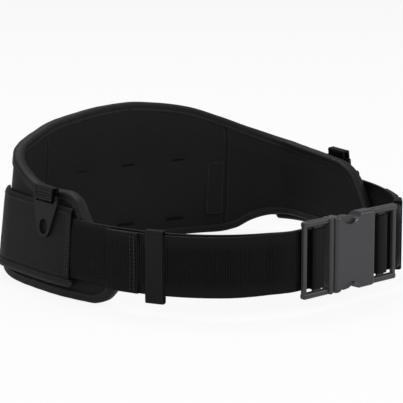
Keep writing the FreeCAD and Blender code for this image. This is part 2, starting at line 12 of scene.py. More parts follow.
import bpy
import numpy as np
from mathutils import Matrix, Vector


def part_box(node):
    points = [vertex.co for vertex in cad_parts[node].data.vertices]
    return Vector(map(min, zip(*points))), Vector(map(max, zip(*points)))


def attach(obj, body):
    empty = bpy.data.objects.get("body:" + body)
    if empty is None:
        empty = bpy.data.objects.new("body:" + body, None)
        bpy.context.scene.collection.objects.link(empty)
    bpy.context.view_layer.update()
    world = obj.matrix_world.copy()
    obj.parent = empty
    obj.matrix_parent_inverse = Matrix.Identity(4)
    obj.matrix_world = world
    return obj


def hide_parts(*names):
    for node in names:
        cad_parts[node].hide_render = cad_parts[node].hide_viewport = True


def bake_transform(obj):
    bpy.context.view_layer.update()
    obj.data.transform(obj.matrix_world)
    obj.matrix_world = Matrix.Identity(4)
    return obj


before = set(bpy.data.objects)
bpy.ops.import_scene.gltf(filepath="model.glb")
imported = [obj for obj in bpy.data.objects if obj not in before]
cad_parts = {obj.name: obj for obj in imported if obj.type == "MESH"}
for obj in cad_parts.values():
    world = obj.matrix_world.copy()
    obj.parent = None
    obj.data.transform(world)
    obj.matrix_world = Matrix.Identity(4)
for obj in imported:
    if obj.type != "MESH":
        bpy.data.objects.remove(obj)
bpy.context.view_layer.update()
MM = 0.001

# %% [markdown]
# ## The waist line
# Every cloth piece follows one line: the inner face of the webbing, seen from above. It is a
# flat-backed oval, with a true arc where each elastic keeper slides and a bend into each end of
# the buckle. Working it out once, as a table of places and outward directions, lets a piece be
# made flat in x (along the belt), y (outwards) and z (height), and wrapped at the end.

# %% Sizes shared by the sewn pieces, in millimetres
HALF_WIDTH, BACK_DEPTH, FRONT_DEPTH = 155.0, 74.0, 232.0
BACK_FULLNESS, FRONT_FULLNESS = 2.1, 2.65
WEB_HEIGHT, WEB_THICK, GAP = 50.0, 2.0, 0.3
FLARE_DEG = 6.0
ARCS = {-1: (345.0, 430.0), 1: (345.0, 392.0)}
BENDS = {-1: 455.0, 1: 393.0}
BUCKLE_T = (-3.049, 2.679)
PLUG_LENGTH, STRAP_CLEAR = 33.0, 4.0
TAIL_IN = WEB_THICK + GAP
BUCKLE_N = TAIL_IN + WEB_THICK + GAP + 2.0


def ellipse_point(t):
    side, front = math.sin(t), -math.cos(t)
    power = FRONT_FULLNESS if front > 0 else BACK_FULLNESS
    depth = FRONT_DEPTH if front > 0 else BACK_DEPTH
    return np.array([math.copysign(abs(side) ** (2 / power), side) * HALF_WIDTH,
                     -math.copysign(abs(front) ** (2 / power), front) * depth])


def with_length(points):
    """The points and their distance along the line from the middle of the back."""
    points = np.array(points)
    run = np.concatenate([[0], np.cumsum(np.linalg.norm(np.diff(points, axis=0), axis=1))])
    middle = np.argmin(np.abs(points[:, 0]) - points[:, 1])
    return run - run[middle], points


def at(line, s):
    return np.stack([np.interp(s, line[0], line[1][:, k]) for k in (0, 1)], -1)


def circle_centre(a, b, c):
    rows = np.array([b - a, c - b]) * 2
    return np.linalg.solve(rows, [b @ b - a @ a, c @ c - b @ b])


def bend(start, start_way, end, end_way, count=60):
    reach = np.linalg.norm(end - start)
    x = (np.arange(1, count + 1) / count)[:, None]
    return (start * ((1 + 2 * x) * (1 - x) ** 2) + end * (x * x * (3 - 2 * x))
            + start_way * (reach * x * (1 - x) ** 2) - end_way * (reach * x * x * (1 - x)))


# %% Work out the line
BUCKLE_START, BUCKLE_END = (ellipse_point(t) for t in BUCKLE_T)
BUCKLE_AXIS = (BUCKLE_END - BUCKLE_START) / np.linalg.norm(BUCKLE_END - BUCKLE_START)
BUCKLE_OUT = np.array([BUCKLE_AXIS[1], -BUCKLE_AXIS[0]])


def waist_line():
    oval = with_length([ellipse_point(-math.pi + 2 * math.pi * i / 4000) for i in range(4001)])
    points = []
    centres = {}
    for side in (-1, 1):
        first, last = ARCS[side]
        ends = [at(oval, side * s) for s in (first, (first + last) / 2, last)]
        centre = circle_centre(*ends)
        centres[side] = centre, np.linalg.norm(ends[0] - centre)
    for s, p in zip(*oval):
        side = 1 if s > 0 else -1
        if abs(s) <= BENDS[side]:
            if ARCS[side][0] <= abs(s) <= ARCS[side][1]:
                centre, radius = centres[side]
                p = centre + (p - centre) / np.linalg.norm(p - centre) * radius
            points.append(p)
    points = np.array(points)
    unit = lambda v: v / np.linalg.norm(v)
    right = bend(points[0], unit(points[0] - points[2]),
                 BUCKLE_START - BUCKLE_AXIS * STRAP_CLEAR, BUCKLE_AXIS)
    left = bend(points[-1], unit(points[-1] - points[-3]),
                BUCKLE_END + BUCKLE_AXIS * STRAP_CLEAR, -BUCKLE_AXIS)
    return with_length(np.concatenate([right[::-1], points, left]))


LINE = waist_line()
ENDS = LINE[0][0], LINE[0][-1]
webbing_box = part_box("main_webbing")
BACK_LEAN = math.tan(math.radians(FLARE_DEG)) * WEB_HEIGHT / 2
SHIFT = np.array([0, webbing_box[1].y / MM - BACK_DEPTH - WEB_THICK - BACK_LEAN,
                  webbing_box[0].z / MM])
print("strap line from", round(ENDS[0]), "to", round(ENDS[1]), "mm; frame shift", SHIFT.round(2))


# %% Wrap a flat piece round the waist
def ease(share):
    share = np.clip(share, 0, 1)
    return share * share * (3 - 2 * share)


def wrapped(flat):
    """Places flat points (along, outwards, height), in millimetres, on the belt, in metres."""
    s, n, z = np.asarray(flat, float).T
    point = at(LINE, s)
    way = at(LINE, s + 1.0) - at(LINE, s - 1.0)
    way /= np.linalg.norm(way, axis=1)[:, None]
    lean = math.tan(math.radians(FLARE_DEG)) * (1 - ease((np.abs(s) - 250) / 70))
    n = n - (z - WEB_HEIGHT / 2) * lean
    out = np.stack([-way[:, 1], way[:, 0]], -1)
    place = np.column_stack([point + out * n[:, None], z])
    return (place + SHIFT) * MM


def in_buckle(flat):
    """Places points (along the buckle, outwards, height from its middle) on the belt."""
    u, v, w = np.asarray(flat, float).T
    mouth = BUCKLE_START + BUCKLE_AXIS * PLUG_LENGTH + BUCKLE_OUT * BUCKLE_N
    place = mouth + np.outer(u, BUCKLE_AXIS) + np.outer(v, BUCKLE_OUT)
    return (np.column_stack([place, w + WEB_HEIGHT / 2]) + SHIFT) * MM


# %% [markdown]
# ## Camera
# A long lens from the wearer's right front, a little above the belt, gives the flat view in
# which the inside of the back pad shows over the front strap.

# %% Camera
CAMERA_AZIMUTH, CAMERA_ELEVATION = -34.6, 11.6
CAMERA_DISTANCE, CAMERA_LENS = 2.0, 199.8
CAMERA_AIM = Vector((0.0278, 0.0609, 0.0500))


def add_camera():
    bpy.ops.object.camera_add()
    camera = bpy.context.object
    turn, tilt = math.radians(CAMERA_AZIMUTH), math.radians(CAMERA_ELEVATION)
    away = Vector((math.sin(turn) * math.cos(tilt), -math.cos(turn) * math.cos(tilt),
                   math.sin(tilt)))
    camera.location = CAMERA_AIM + away * CAMERA_DISTANCE
    camera.rotation_euler = away.to_track_quat("Z", "Y").to_euler()
    camera.data.lens = CAMERA_LENS
    camera.data.sensor_width = 36
    camera.data.clip_end = 50
    bpy.context.scene.camera = camera
    return camera


camera = add_camera()
print("camera", [round(c, 3) for c in camera.location])

# %% [markdown]
# ## Floor and light
# The belt is black, so most of what the eye reads is soft reflection. Two large, pale lamps and
# a grey world give broad highlights without a hard edge. The floor and the world look white to
# the camera alone, so that they throw no more light on the belt.


# %% Floor, world and lamps
def white_to_camera(tree, shader, keep=0.0):
    """Mixes a white glow over a shader where the camera looks at it directly."""
    nodes, links = tree.nodes, tree.links
    path, glow = nodes.new("ShaderNodeLightPath"), nodes.new("ShaderNodeEmission")
    mix = nodes.new("ShaderNodeMixShader")
    seen = nodes.new("ShaderNodeMath")
    seen.operation = "MULTIPLY"
    seen.inputs[1].default_value = 1 - keep
    links.new(path.outputs["Is Camera Ray"], seen.inputs[0])
    links.new(seen.outputs[0], mix.inputs[0])
    links.new(shader, mix.inputs[1])
    links.new(glow.outputs[0], mix.inputs[2])
    return mix.outputs[0]


def add_floor():
    bpy.ops.mesh.primitive_plane_add(size=30, location=(0, 0, 0))
    floor = bpy.context.object
    floor.name = "studio_floor"
    material = bpy.data.materials.new("studio_floor")
    material.use_nodes = True
    tree = material.node_tree
    shader = tree.nodes["Principled BSDF"]
    shader.inputs["Base Color"].default_value = (0.92, 0.92, 0.92, 1)
    shader.inputs["Roughness"].default_value = 0.9
    shader.inputs["Specular IOR Level"].default_value = 0.0
    output = tree.nodes["Material Output"]
    tree.links.new(white_to_camera(tree, shader.outputs[0], keep=0.12), output.inputs[0])
    floor.data.materials.append(material)


def add_world():
    world = bpy.data.worlds.new("studio_world")
    bpy.context.scene.world = world
    world.use_nodes = True
    tree = world.node_tree
    ground = tree.nodes["Background"]
    ground.inputs[0].default_value = (0.75, 0.77, 0.80, 1)
    ground.inputs[1].default_value = 0.45
    white, path = tree.nodes.new("ShaderNodeBackground"), tree.nodes.new("ShaderNodeLightPath")
    white.inputs[0].default_value = (1, 1, 1, 1)
    mix = tree.nodes.new("ShaderNodeMixShader")
    tree.links.new(path.outputs["Is Camera Ray"], mix.inputs[0])
    tree.links.new(ground.outputs[0], mix.inputs[1])
    tree.links.new(white.outputs[0], mix.inputs[2])
    tree.links.new(mix.outputs[0], tree.nodes["World Output"].inputs[0])


def add_lamp(name, place, size, power):
    bpy.ops.object.light_add(type="AREA", location=place)
    lamp = bpy.context.object
    lamp.name = name
    lamp.data.shape = "DISK"
    lamp.data.size = size
    lamp.data.energy = power
    aim = Vector(place) - Vector((0, 0, 0.06))
    lamp.rotation_euler = aim.to_track_quat("Z", "Y").to_euler()


add_floor()
add_world()
add_lamp("key_lamp", (-1.3, -1.5, 1.5), 1.1, 22)
add_lamp("fill_lamp", (1.6, -1.2, 1.2), 1.4, 12)
add_lamp("top_lamp", (0.1, 0.9, 1.9), 1.2, 14)
bpy.context.scene.view_settings.view_transform = "Standard"
print("floor, world and three lamps")

# %% [markdown]
# ## Finishes
# Everything is black, so the finishes differ by how they catch light: matt woven nylon on the
# pad, softer lining inside, ribbed webbing, smooth tape and satin moulded plastic. Two small
# node groups carry what they share: a plain weave, and slow uneven fading of the dye.


# %% Shader groups: weave and fading
def socket_group(name, inputs, outputs):
    group = bpy.data.node_groups.new(name, "ShaderNodeTree")
    for label, kind, value in inputs:
        made = group.interface.new_socket(label, in_out="INPUT", socket_type=kind)
        if value is not None:
            made.default_value = value
    for label, kind in outputs:
        group.interface.new_socket(label, in_out="OUTPUT", socket_type=kind)
    return group, group.nodes.new("NodeGroupInput"), group.nodes.new("NodeGroupOutput")


def maths(tree, operation, *values):
    node = tree.nodes.new("ShaderNodeMath")
    node.operation = operation
    for slot, value in zip(node.inputs, values):
        if isinstance(value, (int, float)):
            slot.default_value = value
        else:
            tree.links.new(value, slot)
    return node.outputs[0]


def make_weave_group():
    """Plain weave: threads cross at a pitch given in millimetres."""
    group, inside, outside = socket_group(
        "plain_weave", [("Vector", "NodeSocketVector", None), ("Pitch mm", "NodeSocketFloat", 0.8)],
        [("Height", "NodeSocketFloat")])
    split = group.nodes.new("ShaderNodeSeparateXYZ")
    group.links.new(inside.outputs["Vector"], split.inputs[0])
    turns = maths(group, "DIVIDE", 2 * math.pi / MM, inside.outputs["Pitch mm"])
    warp = maths(group, "SINE", maths(group, "MULTIPLY", split.outputs[0], turns))
    weft = maths(group, "SINE", maths(group, "MULTIPLY", split.outputs[1], turns))
    cross = maths(group, "MULTIPLY", warp, weft)
    height = maths(group, "MULTIPLY_ADD", cross, 0.5, 0.5)
    group.links.new(height, outside.inputs["Height"])
    return group


def make_fade_group():
    """Slow and fine unevenness of the dye: a colour a little lighter or darker than given."""
    group, inside, outside = socket_group(
        "dye_fade", [("Vector", "NodeSocketVector", None), ("Colour", "NodeSocketColor", None),
                     ("Amount", "NodeSocketFloat", 0.3), ("Grain mm", "NodeSocketFloat", 1.5)],
        [("Colour", "NodeSocketColor"), ("Grain", "NodeSocketFloat")])
    slow = group.nodes.new("ShaderNodeTexNoise")
    slow.inputs["Scale"].default_value = 25
    slow.inputs["Detail"].default_value = 3
    fine = group.nodes.new("ShaderNodeTexNoise")
    fine.inputs["Detail"].default_value = 2
    group.links.new(inside.outputs["Vector"], slow.inputs["Vector"])
    group.links.new(inside.outputs["Vector"], fine.inputs["Vector"])
    group.links.new(maths(group, "DIVIDE", 1 / MM, inside.outputs["Grain mm"]),
                    fine.inputs["Scale"])
    both = maths(group, "ADD", slow.outputs["Fac"], fine.outputs["Fac"])
    swing = maths(group, "MULTIPLY", maths(group, "SUBTRACT", both, 1.0),
                  inside.outputs["Amount"])
    level = maths(group, "ADD", 1.0, maths(group, "MULTIPLY", swing, 2.0))
    scale = group.nodes.new("ShaderNodeVectorMath")
    scale.operation = "SCALE"
    group.links.new(inside.outputs["Colour"], scale.inputs[0])
    group.links.new(level, scale.inputs["Scale"])
    group.links.new(scale.outputs[0], outside.inputs["Colour"])
    group.links.new(fine.outputs["Fac"], outside.inputs["Grain"])
    return group


WEAVE, FADE = make_weave_group(), make_fade_group()
print("groups:", WEAVE.name, FADE.name)


# %% One function makes each finish from its own numbers
def finish(name, colour, rough, weave_mm=0.0, bump=0.3, amount=0.25, grain_mm=1.5, specular=0.3,
           sheen=0.0, on_uv=True):
    material = bpy.data.materials.new(name)
    material.use_nodes = True
    tree = material.node_tree
    nodes, links = tree.nodes, tree.links
    shader = nodes["Principled BSDF"]
    shader.inputs["Roughness"].default_value = rough
    shader.inputs["Specular IOR Level"].default_value = specular
    shader.inputs["Sheen Weight"].default_value = sheen
    shader.inputs["Sheen Roughness"].default_value = 0.5
    place = nodes.new("ShaderNodeTexCoord").outputs["Object"]
    cloth_place = place
    if on_uv:
        cloth_place = nodes.new("ShaderNodeUVMap")
        cloth_place.uv_map = "cloth"
        cloth_place = cloth_place.outputs[0]
    fade = nodes.new("ShaderNodeGroup")
    fade.node_tree = FADE
    fade.inputs["Colour"].default_value = (*colour, 1)
    fade.inputs["Amount"].default_value = amount
    fade.inputs["Grain mm"].default_value = grain_mm
    links.new(place, fade.inputs["Vector"])
    links.new(fade.outputs["Colour"], shader.inputs["Base Color"])
    height = fade.outputs["Grain"]
    if weave_mm:
        weave = nodes.new("ShaderNodeGroup")
        weave.node_tree = WEAVE
        weave.inputs["Pitch mm"].default_value = weave_mm
        links.new(cloth_place, weave.inputs["Vector"])
        height = maths(tree, "MULTIPLY_ADD", weave.outputs["Height"], 0.7,
                       maths(tree, "MULTIPLY", fade.outputs["Grain"], 0.6))
    relief = nodes.new("ShaderNodeBump")
    relief.inputs["Strength"].default_value = bump
    relief.inputs["Distance"].default_value = 0.3 * MM
    links.new(height, relief.inputs["Height"])
    links.new(relief.outputs[0], shader.inputs["Normal"])
    return material


COVER = finish("cover_nylon", (0.006, 0.006, 0.0063), 0.6, weave_mm=0.9, bump=0.4, sheen=0.01,
               specular=0.15)
LINING = finish("lining_cloth", (0.0085, 0.0085, 0.009), 0.85, weave_mm=0.7, bump=0.2, amount=0.15,
                specular=0.2)
TAPE = finish("binding_tape", (0.007, 0.007, 0.0072), 0.5, weave_mm=1.1, bump=0.35, sheen=0.01,
              specular=0.22)
WEB = finish("ribbed_webbing", (0.002, 0.002, 0.0021), 0.42, weave_mm=1.6, bump=0.7, amount=0.4,
             specular=0.14)
ELASTIC = finish("keeper_elastic", (0.007, 0.007, 0.0072), 0.6, weave_mm=0.8, bump=0.3,
                 specular=0.15)
THREAD = finish("bonded_thread", (0.024, 0.024, 0.0245), 0.45, grain_mm=0.5, bump=0.2, on_uv=False)
BUCKLE = finish("buckle_plastic", (0.030, 0.030, 0.032), 0.36, grain_mm=0.35, bump=0.06,
                amount=0.05, specular=0.5, on_uv=False)
LOOP = finish("loop_plastic", (0.008, 0.008, 0.0085), 0.4, grain_mm=0.35, bump=0.06, amount=0.05,
              specular=0.16, on_uv=False)
# Bar tack thread, near black: its colour is painted shade for the dimples that the tacks pull into
# the lining.
TACK_THREAD_PAINTED_SHADE = finish("tack_thread_painted_shade", (0.002, 0.002, 0.002), 0.7, grain_mm=0.5, bump=0.2,
                     specular=0.05, on_uv=False)
print(len(bpy.data.materials), "materials")

# %% [markdown]
# ## Helpers for sewing
# Each soft piece starts as a flat grid. Its corners are numbered from 0 to 1 both ways, a short
# formula moves them to their flat place in millimetres, and the wrap takes them to the waist.


# %% Flat grids, placing and smoothing
def only(obj):
    bpy.ops.object.select_all(action="DESELECT")
    obj.select_set(True)
    bpy.context.view_layer.objects.active = obj
    return obj


def corners(obj):
    co = np.empty(len(obj.data.vertices) * 3)
    obj.data.vertices.foreach_get("co", co)
    return co.reshape(-1, 3)


def move_to(obj, places):
    obj.data.vertices.foreach_set("co", np.asarray(places, float).ravel())
    obj.data.update()


def flat_grid(name, columns, rows):
    """A grid whose x and y run from 0 to 1."""
    bpy.ops.object.select_all(action="DESELECT")
    bpy.ops.mesh.primitive_grid_add(x_subdivisions=columns, y_subdivisions=rows, size=1)
    obj = bpy.context.object
    obj.name = obj.data.name = name
    move_to(obj, corners(obj) + [0.5, 0.5, 0])
    return obj


def cloth_uv(obj, places):
    """Writes a UV map in metres, one pair for each corner point."""
    layer = obj.data.uv_layers.get("cloth") or obj.data.uv_layers.new(name="cloth")
    for other in [u for u in obj.data.uv_layers if u.name != "cloth"]:
        obj.data.uv_layers.remove(other)
    layer = obj.data.uv_layers["cloth"]
    point = np.empty(len(obj.data.loops), int)
    obj.data.loops.foreach_get("vertex_index", point)
    layer.data.foreach_set("uv", (np.asarray(places, float) * MM)[point].ravel())


def tidy(obj, merge=0.0):
    """Joins doubled points, points the faces outwards and shades smooth, keeping sharp folds."""
    only(obj)
    bpy.ops.object.mode_set(mode="EDIT")
    bpy.ops.mesh.select_all(action="SELECT")
    if merge:
        bpy.ops.mesh.remove_doubles(threshold=merge)
    bpy.ops.mesh.normals_make_consistent(inside=False)
    bpy.ops.object.mode_set(mode="OBJECT")
    bpy.ops.object.shade_smooth_by_angle(angle=math.radians(50))


def finished(obj, material, body, slot, *nodes):
    """Gives a piece its material, its body and the nodes it replaces; its slot argument is not
    used.
    """
    obj.data.materials.clear()
    obj.data.materials.append(material)
    if body:
        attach(obj, body)
    if nodes:
        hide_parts(*nodes)
    print(obj.name, len(obj.data.polygons), "faces")
    return obj


# %% [markdown]
# ## Hard parts
# The buckle, its latch arms and the suspender loops are moulded plastic whose shapes are right
# in the frame, so they only take a satin finish.

# %% Plastic finishes on the frame's own pieces
for node, material in (("buckle_socket", BUCKLE), ("buckle_plug", BUCKLE),
                       ("upper_latch_arm", BUCKLE), ("lower_latch_arm", BUCKLE),
                       ("right_suspender_loop", LOOP), ("left_suspender_loop", LOOP)):
    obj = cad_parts[node]
    for index in range(max(1, len(obj.material_slots))):
        if index < len(obj.material_slots):
            obj.material_slots[index].material = material
        else:
            obj.data.materials.append(material)
print("moulded parts finished")

# %% [markdown]
# ## Ribbons: everything cut from webbing, tape and elastic
# A ribbon is a flat woven strip with a rounded edge. It follows a path that lies in one plane,
# and its width is square to that plane: a strap runs along the belt and is as wide as it is
# tall, while a belt loop runs up and over the strap and is as wide as it is long. Both are a
# grid rolled into a thin, closed section, and ribs are real ridges across it.


# %% Paths and ribbons
def evenly(path, step):
    path = np.array(path, float)
    run = np.concatenate([[0], np.cumsum(np.linalg.norm(np.diff(path, axis=0), axis=1))])
    count = max(2, int(round(run[-1] / step)) + 1)
    return np.stack([np.interp(np.linspace(0, run[-1], count), run, path[:, k])
                     for k in range(path.shape[1])], -1)


def rounded(path, times=3, closed=False):
    """Cuts the corners of a path, again and again, until it runs smoothly."""
    path = np.array(path, float)
    for _ in range(times):
        after = np.roll(path, -1, axis=0) if closed else path[1:]
        before = path if closed else path[:-1]
        pairs = np.stack([before * 0.75 + after * 0.25, before * 0.25 + after * 0.75], 1)
        pairs = pairs.reshape(-1, path.shape[1])
        path = pairs if closed else np.vstack([path[:1], pairs, path[-1:]])
    return path


def rolled_grid(name, around, along, close_path):
    """A grid as a tube: 'along' rings of 'around' points, with its ends capped or joined."""
    obj = flat_grid(name, along + (1 if close_path else 0), around + 1)
    place = corners(obj)
    columns = along if close_path else along - 1
    ring = np.rint(place[:, 0] * columns).astype(int) % along
    turn = np.rint(place[:, 1] * around).astype(int) % around
    return obj, ring, turn


def close_up(obj, merge):
    tidy(obj, merge)
    bpy.ops.object.mode_set(mode="EDIT")
    bpy.ops.mesh.select_all(action="SELECT")
    bpy.ops.mesh.fill_holes(sides=0)
    bpy.ops.mesh.normals_make_consistent(inside=False)
    bpy.ops.object.mode_set(mode="OBJECT")
    bpy.ops.object.shade_smooth_by_angle(angle=math.radians(50))


def ribbon(name, path, width, thick, mapped, upright=True, pitch=0.0, rib=0.34, step=0.5,
           closed=False, across=10):
    """A woven strip. path is in two axes, width is (low, high) in the third, all in mm."""
    path = evenly(path, step)
    if closed:
        path = path[:-1]
    along = len(path)
    ahead = np.roll(path, -1, 0) - np.roll(path, 1, 0)
    if not closed:
        ahead[0], ahead[-1] = path[1] - path[0], path[-1] - path[-2]
    ahead /= np.linalg.norm(ahead, axis=1)[:, None]
    square = np.column_stack([-ahead[:, 1], ahead[:, 0]])
    face = np.linspace(-1, 1, across)
    edge = [(1.0, 0.45), (1.0, -0.45)]
    section = [(a * 0.985, 1.0) for a in face] + edge
    section += [(-a * 0.985, -1.0) for a in face] + [(-e[0], -e[1]) for e in edge]
    section = np.array(section)
    obj, ring, turn = rolled_grid(name, len(section), along, closed)
    low, high = (np.broadcast_to(np.asarray(w, float), along) for w in width)
    offset = section[turn, 1] * thick / 2
    if pitch:
        ridge = np.cos(2 * math.pi * ring * step / pitch)
        flat_part = np.abs(section[turn, 0]) < 0.95
        offset = offset + np.sign(offset) * np.where(flat_part, rib * (ridge - 1), 0.05)
    third = (low + high)[ring] / 2 + section[turn, 0] * (high - low)[ring] / 2
    plane = path[ring] + square[ring] * offset[:, None]
    if upright:
        flat = np.column_stack([plane, third])
        cloth_place_mm = np.column_stack([ring * step, third])
    else:
        flat = np.column_stack([third, plane])
        cloth_place_mm = np.column_stack([third, ring * step])
    move_to(obj, mapped(flat))
    cloth_uv(obj, cloth_place_mm)
    close_up(obj, 1e-6)
    return obj


# %% [markdown]
# ## Stitches
# Every seam is lock stitched in bonded thread, about three stitches to the centimetre. A stitch
# is a small bead lying in the cloth, so one low bead is modelled and set down along each seam.

# %% One bead and rows of it
STITCH_LENGTH, STITCH_PITCH, STITCH_WIDTH, STITCH_HEIGHT = 2.5, 3.4, 0.8, 0.55
bpy.ops.object.select_all(action="DESELECT")
bpy.ops.mesh.primitive_uv_sphere_add(segments=8, ring_count=4, radius=0.5)
BEAD = bpy.context.object
BEAD_POINTS = corners(BEAD)[:, [2, 0, 1]]
BEAD_FACES = [list(p.vertices) for p in BEAD.data.polygons]
bpy.data.objects.remove(BEAD)


def stitches(name, rows, mapped, body, pitch=STITCH_PITCH, size=None):
    """Rows are flat paths in mm, in the three axes that 'mapped' takes."""
    size = np.array(size or (STITCH_LENGTH, STITCH_HEIGHT, STITCH_WIDTH))
    points, faces, first = [], [], 0
    for row in rows:
        row = evenly(row, pitch)
        middles, ways = (row[1:] + row[:-1]) / 2, row[1:] - row[:-1]
        for middle, way in zip(middles, ways):
            way = way / np.linalg.norm(way)
            out = np.array([0.0, 1.0, 0.0])
            out = out - way * way[1]
            if np.linalg.norm(out) < 0.2:
                out = np.array([1.0, 0.0, 0.0])
            out /= np.linalg.norm(out)
            frame_of = np.array([way, out, np.cross(way, out)])
            points.append(middle + (BEAD_POINTS * size) @ frame_of)
            faces += [[first + i for i in f] for f in BEAD_FACES]
            first += len(BEAD_POINTS)
    mesh = bpy.data.meshes.new(name)
    mesh.from_pydata(mapped(np.vstack(points)).tolist(), [], faces)
    obj = bpy.data.objects.new(name, mesh)
    bpy.context.collection.objects.link(obj)
    tidy(obj)
    return finished(obj, THREAD, body, "thread")


# %% [markdown]
# ## The pad
# A sheet of closed foam between a woven cover and a soft lining. Its outline is tall at the
# small of the back and low on the wings, and its two wings are cut a little differently. It is
# sewn down at its bound edge, along two upright seams and at the bar tacks of the back loops, so
# a light cloth simulation with air pressure inside lets it swell between those places.

# %% Outline of the pad
PAD_END, BIND_WIDTH = 325.0, 8.0
COVER_N, LINING_N, BIND_N = -1.6, -13.7, (-0.3, -10.6)
EDGE_LINING_N, EDGE_REACH = -9.4, 20.0
TOP_LEFT = [(0, 113), (32, 110), (66, 104), (100, 93), (134, 81), (170, 72), (200, 69), (230, 67),
            (262, 65), (279, 59), (290, 50), (308, 26), (325, 2)]
TOP_RIGHT = [(0, 113), (31, 112), (60, 109), (92, 105), (117, 99), (160, 90), (185, 81), (202, 73),
             (217, 69), (240, 68), (262, 69), (277, 65), (290, 51), (308, 26), (325, 2)]
BOTTOM_LEFT = [(0, -19), (100, -19), (118, -16), (134, -8), (151, -3), (169, -1), (219, -1),
               (234, -4), (255, -16), (270, -19), (298, -19), (313, -15), (325, -4)]
BOTTOM_RIGHT = [(0, -19), (100, -19), (115, -17), (135, -10), (150, -9), (168, -13), (190, -18),
                (210, -19), (298, -19), (313, -15), (325, -4)]


def level(table, s):
    """Smooth height at each s of a table of (s, height), with no overshoot."""
    xs, zs = np.array(table, float).T
    slopes = np.diff(zs) / np.diff(xs)
    tilt = np.zeros(len(xs))
    before, after = slopes[:-1], slopes[1:]
    turning = before * after <= 0
    total = np.where(turning, 1, before + after)
    tilt[1:-1] = np.where(turning, 0, 2 * before * after / total)
    tilt[-1] = slopes[-1]
    i = np.clip(np.searchsorted(xs, s), 1, len(xs) - 1)
    width = xs[i] - xs[i - 1]
    x = (s - xs[i - 1]) / width
    return (zs[i - 1] * (1 + 2 * x) * (1 - x) ** 2 + zs[i] * x * x * (3 - 2 * x)
            + tilt[i - 1] * width * x * (1 - x) ** 2 - tilt[i] * width * x * x * (1 - x))


def pad_top(s):
    s = np.asarray(s, float)
    return np.where(s > 0, level(TOP_LEFT, np.abs(s)), level(TOP_RIGHT, np.abs(s)))


def pad_bottom(s):
    s = np.asarray(s, float)
    return np.where(s > 0, level(BOTTOM_LEFT, np.abs(s)), level(BOTTOM_RIGHT, np.abs(s)))


def outline():
    """The pad's edge as a closed path of (s, z), evenly spaced along the belt's length."""
    places = np.linspace(-PAD_END, PAD_END, 261)
    tip = np.array([[-PAD_END - 1.2, -1.0]]), np.array([[PAD_END + 1.2, -1.0]])
    top = np.column_stack([places, pad_top(places)])
    bottom = np.column_stack([places[::-1], pad_bottom(places[::-1])])
    return rounded(np.vstack([top, tip[1], bottom, tip[0]]), times=1, closed=True)


EDGE = outline()
EDGE_WAY = np.roll(EDGE, -1, 0) - np.roll(EDGE, 1, 0)
EDGE_WAY /= np.linalg.norm(EDGE_WAY, axis=1)[:, None]
EDGE_IN = np.column_stack([EDGE_WAY[:, 1], -EDGE_WAY[:, 0]])
print("pad outline", len(EDGE), "points")

# %% Pad body, seams and dimples
SEAM_S, TACK_S, TACK_Z, TACK_LENGTH = 106.0, (-54.0, 0.0, 54.0), (-1.5, 55.0), 18.0
PAD_ROWS = 26


def lining_depth(s, z):
    """The lining's flat depth: pinched towards the cover where the binding holds the edge."""
    to_edge = np.minimum(pad_top(s) - z, z - pad_bottom(s))
    to_edge = np.minimum(to_edge, (PAD_END - np.abs(s)) * 0.9)
    return EDGE_LINING_N + (LINING_N - EDGE_LINING_N) * ease((to_edge - 4) / EDGE_REACH)


def pad_body():
    s = set(np.arange(-322, 322.1, 4.0))
    for seam in (-SEAM_S, SEAM_S):
        s = {v for v in s if abs(v - seam) > 3.5}
        s |= {seam + d for d in (-3.2, -1.4, -0.5, 0.5, 1.4, 3.2)}
    s = np.array(sorted(s))
    low, high = pad_bottom(s) + 2.0, pad_top(s) - 2.0
    low = np.minimum(low, high - 1)
    share = np.linspace(0, 1, PAD_ROWS)
    section = [(h, LINING_N) for h in share] + [(h, COVER_N) for h in share[::-1]]
    section = np.array(section)
    obj, ring, turn = rolled_grid("pad_body", len(section), len(s), False)
    height = low[ring] + (high - low)[ring] * section[turn, 0]
    depth = section[turn, 1]
    inner = depth < -5
    depth = np.where(inner, lining_depth(s[ring], height), depth)
    seam = np.min(np.abs(s[ring][:, None] - [-SEAM_S, SEAM_S]), axis=1)
    depth = depth + np.where(inner, 1.5 * np.exp(-(seam / 1.1) ** 2), 0)
    for tack in TACK_S:
        for z in TACK_Z:
            beside = np.maximum(np.abs(s[ring] - tack) - TACK_LENGTH / 2 + 2, 0)
            apart = np.hypot(beside / 3, (height - z) / 3.5)
            depth = depth + np.where(inner, 2.0 * np.exp(-apart ** 2), 0)
    flat = np.column_stack([s[ring], depth, height])
    move_to(obj, wrapped(flat))
    cloth_uv(obj, flat[:, [0, 2]])
    return obj, flat


def pinned(flat):
    """Points held by the binding, a seam or a bar tack."""
    s, _, z = flat.T
    held = (z > pad_top(s) - 7) | (z < pad_bottom(s) + 7) | (np.abs(s) > 318)
    held |= np.min(np.abs(s[:, None] - [-SEAM_S, SEAM_S]), axis=1) < 1
    for tack in TACK_S:
        held |= (np.abs(s - tack) < TACK_LENGTH / 2) & (np.min(
            np.abs(z[:, None] - TACK_Z), axis=1) < 3)
    return held


